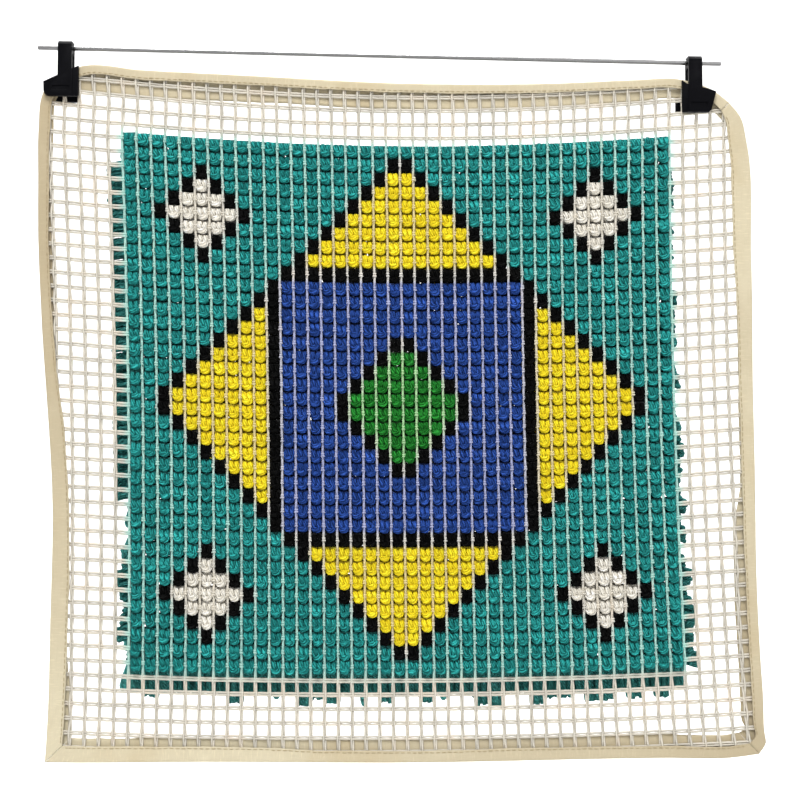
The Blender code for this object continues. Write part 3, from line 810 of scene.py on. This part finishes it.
class HANGING_OT_knots(bpy.types.Operator):
    """Tie the yarn knots, one on each cross pair of the field"""

    bl_idname = "hanging.knots"
    bl_label = "Yarn knots"

    # (columns off the knot's middle, rows below its cross pair, depth in mm, share of the radius)
    WRAP = (
        (0.150, -0.08, 0.6, 0.85), (0.170, -0.21, -0.5, 0.95), (0.178, -0.21, -1.5, 1.05),
        (0.182, -0.08, -2.05, 1.1), (0.165, 0.12, -1.7, 1.0), (0.130, 0.22, -0.6, 0.85),
    )
    LOOP = (
        (-0.220, 0.08, 0.0, 0.78), (-0.215, 0.23, -1.4, 0.95), (-0.130, 0.325, -2.2, 1.05),
        (0.0, 0.340, -2.5, 1.1),
        (0.130, 0.325, -2.2, 1.05), (0.215, 0.23, -1.4, 0.95), (0.220, 0.08, 0.0, 0.78),
    )
    SIDES = 6
    # How much the knots differ
    SHIFT = (0.012, 0.022, 0.00012)  # in columns, in rows, and in metres of depth
    TURN = 0.09  # radians
    SIZE = 0.045  # as a share

    def execute(self, context):
        """A knot is two upright wraps side by side and a loop that hangs below them like a smile.
        Each is a tube along its own short path, turned, moved and sized a little for every knot.
        """
        yarn = context.scene.hanging_yarn
        shades = colour_chart(context.scene.hanging_chart).ravel()
        u, v = knot_grid()
        rng = np.random.default_rng(SEED)
        shift = rng.normal(0, 1, (len(u), 3)) * self.SHIFT
        turn = rng.normal(0, self.TURN, len(u))
        size = rng.normal(1, self.SIZE, len(u))
        tone = rng.random(len(u))

        def strand(table, mirror, radius):
            """Paths and radii of one strand in every knot: the table's points turned about the knot."""
            across, down, depth, share = (column[None] for column in np.array(table).T)
            across = mirror * across
            bent_across = across * np.cos(turn)[:, None] - down * np.sin(turn)[:, None]
            bent_down = down * np.cos(turn)[:, None] + across * np.sin(turn)[:, None]
            at = drape(
                u[:, None] + 0.5 + bent_across + shift[:, :1],
                v[:, None] + bent_down + shift[:, 1:2],
                depth * 0.001 * size[:, None] + shift[:, 2:],
            )
            return at, radius * share * size[:, None]

        left = strand(self.WRAP, -1, yarn.wrap)
        right = strand(self.WRAP, 1, yarn.wrap)
        loop = strand(self.LOOP, 1, yarn.loop)
        for name, mask in shade_groups(shades, v):
            strands = ((left, ACROSS), (right, ACROSS), (loop, BACK))
            shape = joined([
                tubes(paths[mask], radii[mask], self.SIDES, way) for (paths, radii), way in strands
            ])
            tones = np.tile(tone[mask], len(strands))[shape["owner"]]
            add_yarn("knots", name, shape, yarn, tones)
        return {"FINISHED"}


def shade_groups(shades, v):
    """The knots of each shade, the ground in an upper and a lower half: (name, mask)."""
    groups = []
    for k, name in enumerate(SHADES):
        mask = shades == k
        if name == GROUND:
            groups += [(name + "_upper", mask & (v < ROWS / 2)), (name + "_lower", mask & (v >= ROWS / 2))]
        else:
            groups.append((name, mask))
    return groups


def add_yarn(part, group, shape, yarn, tones, factor=1.0, grey=0.0):
    """The knots or the pile of one group, in its shade of yarn. Cut ends are darkened as painted shade, and
    greyer.
    """
    shade_name = group.split("_")[0]
    name = f"{part}_{shade_name}_yarn"
    # factor darkens the cut ends as painted shade, and grey is added to them
    colour = tuple(c * factor + grey for c in getattr(yarn, shade_name))
    finish = bpy.data.materials.get(name) or yarn_finish(name, colour)
    add_piece(f"{part}_{group}", shape, finish, "yarn_" + shade_name, [part], tones)


class HANGING_OT_pile(bpy.types.Operator):
    """Cut the yarn's ends into a drooping pile behind the canvas"""

    bl_idname = "hanging.pile"
    bl_label = "Cut pile"

    SIDES = 6
    RINGS = (0.0, 0.0, 0.2, 0.45, 0.72, 0.94, 1.0)  # where a strand's rings are, as shares of its length
    SWELL = (1.0, 1.0, 1.0, 1.0, 1.0, 0.94, 0.62)  # a cut end's size there
    BLUNT = (0.80, 0.90, 1.0, 1.05, 1.05, 1.0, 0.75)  # and that of a strand in a tuft
    ROOT = (-0.46, 0.16)  # rows below the cross pair where an end starts and leaves its knot
    ROOT_DEPTH = (0.0016, 0.0024)  # the same, in metres behind the cloth's middle
    SPLAY = (0.0022, 0.0020)  # how far the tips stray, across and down
    PARTING = 0.0016  # how far a knot's two ends part
    UNEVEN = {"length": 0.05, "sink": 0.16, "size": 0.09}  # how much the ends differ, as shares
    SINKS = (0.55, 0.45)  # share of the droop in the top row, and what comes on top down the field
    LEANS = (0.50, 0.9)  # an end's least and most share of the lean
    RIGHT_LEAN = 0.75  # the lean at the right, as a share of the left's
    RIM = (0.88, 0.98)  # shares of the half field between which the ends begin to lean out
    LOW_DROP = 0.0050  # how much further the ends of the lowest rows sink
    LOW_ROWS = 4  # over which this comes in
    STRIP_ROWS = (2, 25)  # first and last row of the even strip at the left
    LOW_LEFT_ROW = 30  # first row of the few tufts below it
    # Least and most reach of the rim's tufts, in squares of the net
    STRIP = (1.12, 1.25)
    LOW_LEFT = (0.0, 1.1)
    RAGGED = (0.0, 1.25)  # at the right, shorter in the upper rows
    LONG = (1.6, 2.2)  # one tuft in four below the field
    SHORT = 1.3  # the other tufts there
    TUFT = 5  # strands in a tuft
    TUFT_DEPTH = (0.0026, 0.0060)  # where a tuft's strand starts, and how far it bows back

    def execute(self, context):
        """The ends behind the field and the tufts at its rim, put together shade by shade."""
        yarn = context.scene.hanging_yarn
        shades = colour_chart(context.scene.hanging_chart)
        rng = np.random.default_rng(SEED + 1)
        parts = zip(self.back(yarn, rng), self.rim(yarn, rng))
        u, v, paths, radii, tone = (np.concatenate(pair) for pair in parts)
        for name, mask in shade_groups(shades[v, u], v):
            shape = tubes(paths[mask], radii[mask], self.SIDES, ACROSS)
            add_yarn("pile", name, shape, yarn, tone[mask][shape["owner"]], yarn.cut, yarn.end_grey)
        return {"FINISHED"}

    def back(self, yarn, rng):
        """Two cut ends a knot: column and row of their knot, paths, radii and tone.

        An end starts above its cross pair, leaves the knot straight back and sinks with the square of the
        way it has gone, more so lower down. Near the field's sides it leans outwards. Its tip is blunt.
        """
        u, v = (np.repeat(a, 2) for a in knot_grid())
        count = len(u)
        side = np.tile((-1.0, 1.0), count // 2)
        length = yarn.pile * rng.normal(1, self.UNEVEN["length"], count)
        splay = rng.normal(0, 1, (count, 2)) * self.SPLAY
        sink = yarn.droop * rng.normal(1, self.UNEVEN["sink"], count)
        sink = sink * (self.SINKS[0] + self.SINKS[1] * v / ROWS)
        fat = yarn.tuft * rng.normal(1, self.UNEVEN["size"], count)
        tone = rng.random(count)
        to_side = (u + 0.5) / COLUMNS * 2 - 1
        rim = np.clip((abs(to_side) - self.RIM[0]) / (self.RIM[1] - self.RIM[0]), 0, 1)
        reach = np.where(to_side < 0, yarn.lean, self.RIGHT_LEAN * yarn.lean) * np.clip((v + 1) / 4, 0, 1)
        lean = reach * np.sign(to_side) * rim * rng.uniform(*self.LEANS, count)
        low = np.clip((v - (ROWS - self.LOW_ROWS)) / self.LOW_ROWS, 0, 1)
        sink = sink + self.LOW_DROP * low * rng.uniform(0.2, 1.2, count)
        t = np.array(self.RINGS)[None]
        first = np.arange(t.size) == 0
        below = np.where(first, self.ROOT[0], self.ROOT[1] + 0.20 * (side * rim)[:, None])
        behind = np.where(first, *self.ROOT_DEPTH)
        root = drape(u[:, None] + 0.5 + 0.19 * side[:, None], v[:, None] + below, behind)
        x = (splay[:, :1] + self.PARTING * side[:, None]) * t + lean[:, None] * t**1.3
        y = length[:, None] * t * (1 - 0.12 * t**2)
        z = -sink[:, None] * t**2 + splay[:, 1:] * t
        paths = root + np.stack([x, y, z], axis=-1)
        return u, v, paths, fat[:, None] * np.array(self.SWELL)[None], tone

    def rim(self, yarn, rng):
        """Tufts bent flat behind the margin, beside the outer columns and below the lowest row, given as by
        back().

        The strands of a tuft stand side by side over one square of the net and share its reach, counted in
        squares: an even strip at the left but for a few rows, ragged at the right and more so lower down,
        and one longer tuft in four below. Each strand goes straight outwards, bows away from the canvas
        like a sine and sags a little.
        """
        rows, columns = np.arange(ROWS), np.arange(COLUMNS)
        left = np.where(rows >= self.LOW_LEFT_ROW, rng.uniform(*self.LOW_LEFT, ROWS), 0.0)
        even = (rows >= self.STRIP_ROWS[0]) & (rows <= self.STRIP_ROWS[1])
        left = np.where(even, rng.uniform(*self.STRIP, ROWS), left)
        right = rng.uniform(*self.RAGGED, ROWS) * (0.4 + 0.6 * rows / ROWS) * (rows > 0)
        below = np.where(rng.random(COLUMNS) < 1 / 4, rng.uniform(*self.LONG, COLUMNS), self.SHORT)
        knot_u = np.concatenate([0 * rows, 0 * rows + COLUMNS - 1, columns])
        knot_v = np.concatenate([rows, rows, 0 * columns + ROWS - 1])
        out_u = np.concatenate([0 * rows - 1, 0 * rows + 1, 0 * columns])
        reach = np.concatenate([left, right, below])
        knot_u, knot_v, out_u, reach = (np.repeat(a, self.TUFT) for a in (knot_u, knot_v, out_u, reach))
        count = len(reach)
        aside = np.tile(np.linspace(-0.4, 0.4, self.TUFT), count // self.TUFT) + rng.normal(0, 0.04, count)
        reach = reach + rng.normal(0, 0.05, count)
        t = np.array(self.RINGS)[None]
        way = np.where(np.arange(t.size) == 0, -0.05, 0.5 * t) + reach[:, None] * t
        beside = (out_u != 0)[:, None]
        u = knot_u[:, None] + 0.5 + np.where(beside, out_u[:, None] * way, aside[:, None])
        v = knot_v[:, None] + np.where(beside, aside[:, None] + 0.3 * t**2, 0.35 + way)
        bow = self.TUFT_DEPTH[1] * rng.uniform(0.6, 1.4, count)[:, None]
        y = self.TUFT_DEPTH[0] + bow * np.sin(2.4 * t)
        radii = yarn.strand * rng.normal(1, 0.08, count)[:, None] * np.array(self.BLUNT)[None]
        # the tufts' tone is at least 0.4, which paints them a little darker as shade; above that it differs
        # at random
        return knot_u, knot_v, drape(u, v, y), radii, np.maximum(rng.random(count), 0.4)


class HANGING_OT_binding(bpy.types.Operator):
    """Fold the tape over the canvas's edges and stitch it down"""

    bl_idname = "hanging.binding"
    bl_label = "Binding"

    STATIONS = 241
    AVERAGED = 10  # stations each way over which the edge's run is averaged
    ROUND = 9  # rings across each flap, and round the fold
    HELD = 20  # the corners hold the tape over one part in so many at each end of a side
    STRAY = {"front": 0.00022, "back": 0.00030}  # how far the flaps' free edges wander
    LIFT = 0.00030  # how far the free edges stand off
    PUFF = 0.00012  # how far the tape swells
    # (waves along a side, first seed)
    WAVES = {"front": (9, 10), "back": (7, 20), "lift": (13, 30), "puff": (21, 40), "stitches": (31, 50)}
    STITCH_RADIUS = 0.00022
    STITCH_SIDES = 4
    STITCH_LENGTH = 0.78  # of the pitch
    STITCH_INSET = 0.0010  # from the near flap's free edge
    STITCH_STRAY = 0.00012
    STITCH_SUNK = (0.00035, 0.0, -0.00016, -0.00016, 0.0, 0.00035)  # along a stitch, into the tape
    # (share of the side's length, how far the tape is darkened and browned there)
    DARKENED_ALONG = {
        "top": (
            (0.0, 0.50), (0.08, 0.46), (0.16, 0.28), (0.28, 0.38), (0.42, 0.19), (0.55, 0.26), (1.0, 0.30),
        ),
        "right": (
            (0.0, 0.30), (0.20, 0.15), (0.33, 0.36), (0.55, 0.22), (0.75, 0.28), (0.87, 0.37), (0.96, 0.68),
        ),
        "bottom": (
            (0.0, 0.66), (0.17, 0.43), (0.31, 0.41), (0.45, 0.32), (0.58, 0.22), (0.70, 0.05), (1.0, 0.12),
        ),
        "left": (
            (0.0, 0.0), (0.15, 0.16), (0.25, 0.38), (0.37, 0.42), (0.49, 0.55), (0.61, 0.64), (0.75, 0.70),
        ),
    }

    def execute(self, context):
        """A tape's section runs in along the near flap, round the fold and out along the far flap, and
        back at the tape's thickness inside. It is carried along the side's edge, square to it.
        """
        settings = context.scene.hanging_binding
        finish = tape_finish(tuple(settings.colour), tuple(settings.soil_and_darkening))
        names = list(EDGES)
        grids = [smooth_line(EDGES[name], self.STATIONS) for name in names]
        lines = [drape(g[:, 0], g[:, 1])[:, [0, 2]] for g in grids]
        ways = self.inward(lines)
        stitches = []
        for seed, (name, line, way) in enumerate(zip(names, lines, ways)):
            shape, width = self.tape(name, line, way, settings.tape, seed)
            # how far the tape is darkened and browned along the side
            darkened = look_up(self.DARKENED_ALONG[name], np.linspace(0, 1, self.STATIONS))
            darkened = np.repeat(darkened, len(shape["points"]) // self.STATIONS)
            piece = add_piece("tape_" + name, shape, finish, "binding", ["binding_" + name], darkened)
            stitches.append(self.stitches(name, line, way, settings, seed))
        add_piece(
            "tape_stitches", joined(stitches), sewing_finish(tuple(settings.thread)), "binding",
            ["binding_" + name for name in names],
        )
        return {"FINISHED"}

    @classmethod
    def inward(cls, lines):
        """The way inwards at each place: square to the edge's mean run there, and along the mitre at its two
        corners. The mitre's share falls with the square of the distance from the corner.
        """
        ways, pulls = [], []
        for line in lines:
            run = unit(np.gradient(line, axis=0))
            wide = np.pad(run, ((cls.AVERAGED, cls.AVERAGED), (0, 0)), mode="reflect")
            windows = np.lib.stride_tricks.sliding_window_view(wide, 2 * cls.AVERAGED + 1, axis=0)
            run = unit(windows.mean(axis=-1))
            ways.append(np.stack([run[:, 1], -run[:, 0]], axis=1))
            to_ends = np.linalg.norm(line[:, None] - line[None, [0, -1]], axis=2)
            pulls.append(np.clip(1 - to_ends / MITRE_REACH, 0, 1) ** 2)
        for k, way in enumerate(ways):
            n = (k + 1) % len(ways)
            mitre = way[-1] + ways[n][0]
            mitre = mitre * 2 / (mitre @ mitre)
            way += pulls[k][:, 1:] * (mitre - way[-1])
            ways[n] += pulls[n][:, :1] * (mitre - ways[n][0])
        return ways

    @staticmethod
    def place(line, way, depth, y):
        """The point at a depth in from the edge, y behind the cloth's middle."""
        flat = line[:, None] + depth[..., None] * way[:, None]
        u, v = grid_of(flat[..., 0], flat[..., 1])
        return drape(u, v, y)

    def tape(self, name, line, way, thick, seed):
        """A tape's points, and its width measured over its outer face."""
        outer = CANVAS / 2 + CLEARANCE + thick
        share = np.linspace(0, 1, len(line))
        loose = np.clip(np.minimum(share, 1 - share) * self.HELD, 0, 1)
        stray = {side: loose * self.STRAY[side] * self.uneven(side, share, seed) for side in self.STRAY}
        front = look_up(FRONT_FLAP[name], share) + stray["front"]
        back = look_up(BACK_FLAP[name], share) + stray["back"]
        lift = loose * self.lift(share, seed)
        puff = loose * self.PUFF * self.uneven("puff", share, seed)
        turns = np.linspace(-math.pi / 2, math.pi / 2, self.ROUND)[1:-1]
        rows = np.linspace(1, 0, self.ROUND)

        def lap(half, flap, sign, share_raised):
            """One flap from its free edge to the fold, raised with the cube of the way from the fold."""
            depth = FOLD_ROUND + (flap[:, None] - FOLD_ROUND) * rows[None]
            raised = half + (lift[:, None] * rows[None] ** 3 + puff[:, None]) * share_raised
            return np.stack([depth, sign * raised])

        def face(inset, half):
            """The near flap, the fold as half an ellipse, and the far flap."""
            depth = inset + (FOLD_ROUND - inset) * (1 - np.cos(turns)) + 0 * line[:, :1]
            fold = np.stack([depth, half * np.sin(turns) + 0.5 * puff[:, None]])
            far = lap(half, back, 1, 0.6)[:, :, ::-1]
            return np.concatenate([lap(half, front, -1, 1), fold, far], axis=2)

        depth, y = np.concatenate([face(0.0, outer), face(thick, outer - thick)[:, :, ::-1]], axis=2)
        parted = line.copy()
        run = unit(np.gradient(line, axis=0))
        parted[0] += MITRE_GAP * run[0]
        parted[-1] -= MITRE_GAP * run[-1]
        points = self.place(parted, way, depth, y)
        step = np.linalg.norm(np.diff(points, axis=1), axis=2)
        across = np.concatenate([np.zeros((len(line), 1)), step.cumsum(axis=1)], axis=1)
        uv = np.stack([across, np.broadcast_to(distance(line)[:, None], across.shape)], axis=-1)
        return strip(points, uv), across[:, points.shape[1] // 2 - 1].mean()

    @classmethod
    def uneven(cls, what, share, seed):
        """A smooth uneven line along the side, between about -1 and 1."""
        count, first = cls.WAVES[what]
        return waves(share * count, first + seed)

    @classmethod
    def lift(cls, share, seed):
        """How far a free edge stands off at each share of the side."""
        return cls.LIFT * np.clip(cls.uneven("lift", share, seed), -0.4, 1)

    def stitches(self, name, line, way, settings, seed):
        """Short sewn dashes, one pitch apart, just inside the near flap's free edge."""
        length = distance(line)
        count = int(length[-1] / settings.stitch) - 3
        start = (np.arange(count) + 1.5) * settings.stitch
        share_of = np.array((0.0, 0.12, 0.38, 0.62, 0.88, 1.0)) * self.STITCH_LENGTH
        at = start[:, None] + share_of[None] * settings.stitch
        share = at / length[-1]
        depth = look_up(FRONT_FLAP[name], share) - self.STITCH_INSET
        depth = depth + self.STITCH_STRAY * self.uneven("stitches", share, seed)
        edge, inward = (
            np.stack([np.interp(at, length, a[:, k]) for k in (0, 1)], axis=-1) for a in (line, way)
        )
        flat = edge + depth[..., None] * inward
        u, v = grid_of(flat[..., 0], flat[..., 1])
        outer = CANVAS / 2 + CLEARANCE + settings.tape
        paths = drape(u, v, np.array(self.STITCH_SUNK) - outer - 0.5 * self.lift(share, seed))
        return tubes(paths, np.full(at.shape, self.STITCH_RADIUS), self.STITCH_SIDES, BACK)


class HANGING_OT_clips(bpy.types.Operator):
    """Round the clips' edges and give them their plastic"""

    bl_idname = "hanging.clips"
    bl_label = "Clips"

    SAME = 1e-6  # points no further apart are one
    FLAT = math.radians(2)  # faces at no more than this angle are one
    EDGE = math.radians(30)  # an edge sharper than this is rounded

    def execute(self, context):
        """Each jaw is a copy of its solid: faces in one plane are joined, and a bevel rounds the edges."""
        settings = context.scene.hanging_hanger
        finish = plastic_finish(tuple(settings.plastic))
        for node in CLIPS:
            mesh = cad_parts[node].data.copy()
            shape = bmesh.new()
            shape.from_mesh(mesh)
            bmesh.ops.remove_doubles(shape, verts=shape.verts, dist=self.SAME)
            bmesh.ops.dissolve_limit(shape, angle_limit=self.FLAT, verts=shape.verts, edges=shape.edges)
            shape.to_mesh(mesh)
            shape.free()
            mesh.materials.clear()
            mesh.materials.append(finish)
            mesh.shade_smooth()
            piece = add_object(node + "_moulding", mesh)
            bevel = piece.modifiers.new("edges", "BEVEL")
            bevel.width = settings.bevel
            bevel.segments = 3
            bevel.limit_method = "ANGLE"
            bevel.angle_limit = self.EDGE
            bevel.harden_normals = True
            dress(piece, "clip", node)
        return {"FINISHED"}


class HANGING_OT_bar(bpy.types.Operator):
    """Turn the bar, with its rounded ends"""

    bl_idname = "hanging.bar"
    bl_label = "Bar"

    RADIUS = 0.0014
    LENGTH = 0.380
    TILT = math.radians(0.755)
    ROUNDED = 0.0007  # length of an end's rounding
    END = 0.45  # an end's radius, as a share
    SIDES = 32

    def execute(self, context):
        """The bar is a circle of its radius carried along its axis; near each end the radius follows a
        quarter ellipse.
        """
        settings = context.scene.hanging_hanger
        quarter = np.linspace(0, math.pi / 2, 5)
        in_from_end = self.ROUNDED * (1 - np.cos(quarter)) - self.LENGTH / 2
        x = np.concatenate([in_from_end, -in_from_end[::-1]])
        share = self.END + (1 - self.END) * np.sin(quarter)
        share = np.concatenate([share, share[::-1]])
        paths = np.stack([x * math.cos(self.TILT), 0 * x, -x * math.sin(self.TILT)], axis=-1)[None]
        shape = tubes(paths, self.RADIUS * share[None], self.SIDES, BACK)
        piece = add_piece("round_bar", shape, metal_finish(tuple(settings.metal)), "bar", ["bar"])
        piece.data.set_sharp_from_angle(angle=math.radians(50))
        return {"FINISHED"}


class HANGING_OT_stage(bpy.types.Operator):
    """Set the backdrop, the lights and the camera"""

    bl_idname = "hanging.stage"
    bl_label = "Stage"

    BELOW = 0.12  # from the cloth down to the floor
    BEND = 0.9  # radius of the bend between floor and wall
    BEHIND = 1.6  # where the bend begins
    FAR = 4.0  # how far floor and wall reach
    WORLD = 0.5
    WALL = Vector((0.0, 2.5, -0.2))
    # (name, place, side of its square, watts)
    LIGHTS = (
        ("key", (-0.2, -1.2, 1.3), 0.8, 33.0),
        ("fill", (1.3, -1.4, 0.0), 1.6, 6.0),
        ("rear", (0.5, 1.2, 1.2), 1.4, 4.0),
        ("wall", (0.0, 0.5, 1.0), 2.0, 60.0),
    )

    def execute(self, context):
        """Colours are shown as they are, without a film look."""
        settings = context.scene.hanging_stage
        context.scene.view_settings.view_transform = "Standard"
        self.backdrop(tuple(settings.floor))
        self.lights(Vector(settings.aim))
        self.camera(settings)
        return {"FINISHED"}

    @classmethod
    def backdrop(cls, colour):
        """A level floor that curves up into a wall behind: a quarter circle between two straights."""
        low = CAD_BOX[0][2] - cls.BELOW
        turn = np.linspace(0, math.pi / 2, 17)
        y = np.concatenate([[-cls.FAR], cls.BEHIND + cls.BEND * np.sin(turn), [cls.BEHIND + cls.BEND]])
        z = low + np.concatenate([[0], cls.BEND * (1 - np.cos(turn)), [cls.FAR]])
        x = np.array((-cls.FAR, cls.FAR))
        points = np.stack([np.tile(x, len(y)), np.repeat(y, 2), np.repeat(z, 2)], axis=-1)
        k = 2 * np.arange(len(y) - 1)
        quads = np.stack([k, k + 1, k + 3, k + 2], axis=-1)
        mesh = bpy.data.meshes.new("backdrop")
        mesh.from_pydata(points.tolist(), [], quads.tolist())
        mesh.shade_smooth()
        mesh.materials.append(floor_finish(colour))
        add_object("backdrop", mesh)

    @classmethod
    def lights(cls, aim):
        """A white world, and square lamps that face the cloth, or the wall behind it."""
        world = bpy.data.worlds.new("room")
        world.use_nodes = True
        background = world.node_tree.nodes["Background"]
        background.inputs["Color"].default_value = (1.0, 1.0, 1.0, 1)
        background.inputs["Strength"].default_value = cls.WORLD
        bpy.context.scene.world = world
        for name, place, size, power in cls.LIGHTS:
            data = bpy.data.lights.new(name, "AREA")
            data.size = size
            data.energy = power
            light = add_object(name, data)
            light.location = place
            target = cls.WALL if name == "wall" else aim
            light.rotation_euler = (target - Vector(place)).to_track_quat("-Z", "Y").to_euler()

    @staticmethod
    def camera(settings):
        """The view is settings.view_width wide at the cloth, which fixes the lens."""
        turn, tilt = settings.turn, settings.tilt
        level = math.cos(tilt)
        way = Vector((math.sin(turn) * level, math.cos(turn) * level, math.sin(tilt)))
        data = bpy.data.cameras.new("camera")
        data.sensor_width = 36.0
        data.lens = data.sensor_width * settings.distance / settings.view_width
        data.clip_start = 0.01
        camera = add_object("camera", data)
        camera.location = Vector(settings.aim) - settings.distance * way
        camera.rotation_euler = way.to_track_quat("-Z", "Y").to_euler()
        bpy.context.scene.camera = camera


class HANGING_PT_panel(bpy.types.Panel):
    """Lists the pieces in the order in which they are made"""

    bl_label = "Latch hook hanging"
    bl_idname = "HANGING_PT_panel"
    bl_space_type = "VIEW_3D"
    bl_region_type = "UI"
    bl_category = "Hanging"

    def draw(self, context):
        for operator in OPERATORS:
            self.layout.operator(operator.bl_idname)
        for name in SETTINGS:
            group = getattr(context.scene, name)
            box = self.layout.box()
            for key in group.bl_rna.properties.keys():
                if key not in {"rna_type", "name"}:
                    box.prop(group, key)


SETTINGS = {
    "hanging_canvas": CanvasSettings,
    "hanging_yarn": YarnSettings,
    "hanging_chart": ChartSettings,
    "hanging_binding": BindingSettings,
    "hanging_hanger": HangerSettings,
    "hanging_stage": StageSettings,
}
OPERATORS = (
    HANGING_OT_stage,
    HANGING_OT_canvas,
    HANGING_OT_knots,
    HANGING_OT_pile,
    HANGING_OT_binding,
    HANGING_OT_clips,
    HANGING_OT_bar,
)


def register():
    for group in (*SETTINGS.values(), *OPERATORS, HANGING_PT_panel):
        bpy.utils.register_class(group)
    for name, group in SETTINGS.items():
        setattr(bpy.types.Scene, name, bpy.props.PointerProperty(type=group))


def unregister():
    for name in SETTINGS:
        delattr(bpy.types.Scene, name)
    for group in reversed((*SETTINGS.values(), *OPERATORS, HANGING_PT_panel)):
        bpy.utils.unregister_class(group)


def main():
    """Makes the stage and every piece."""
    register()
    for operator in OPERATORS:
        getattr(bpy.ops.hanging, operator.bl_idname.split(".")[1])()


if __name__ == "__main__":
    main()
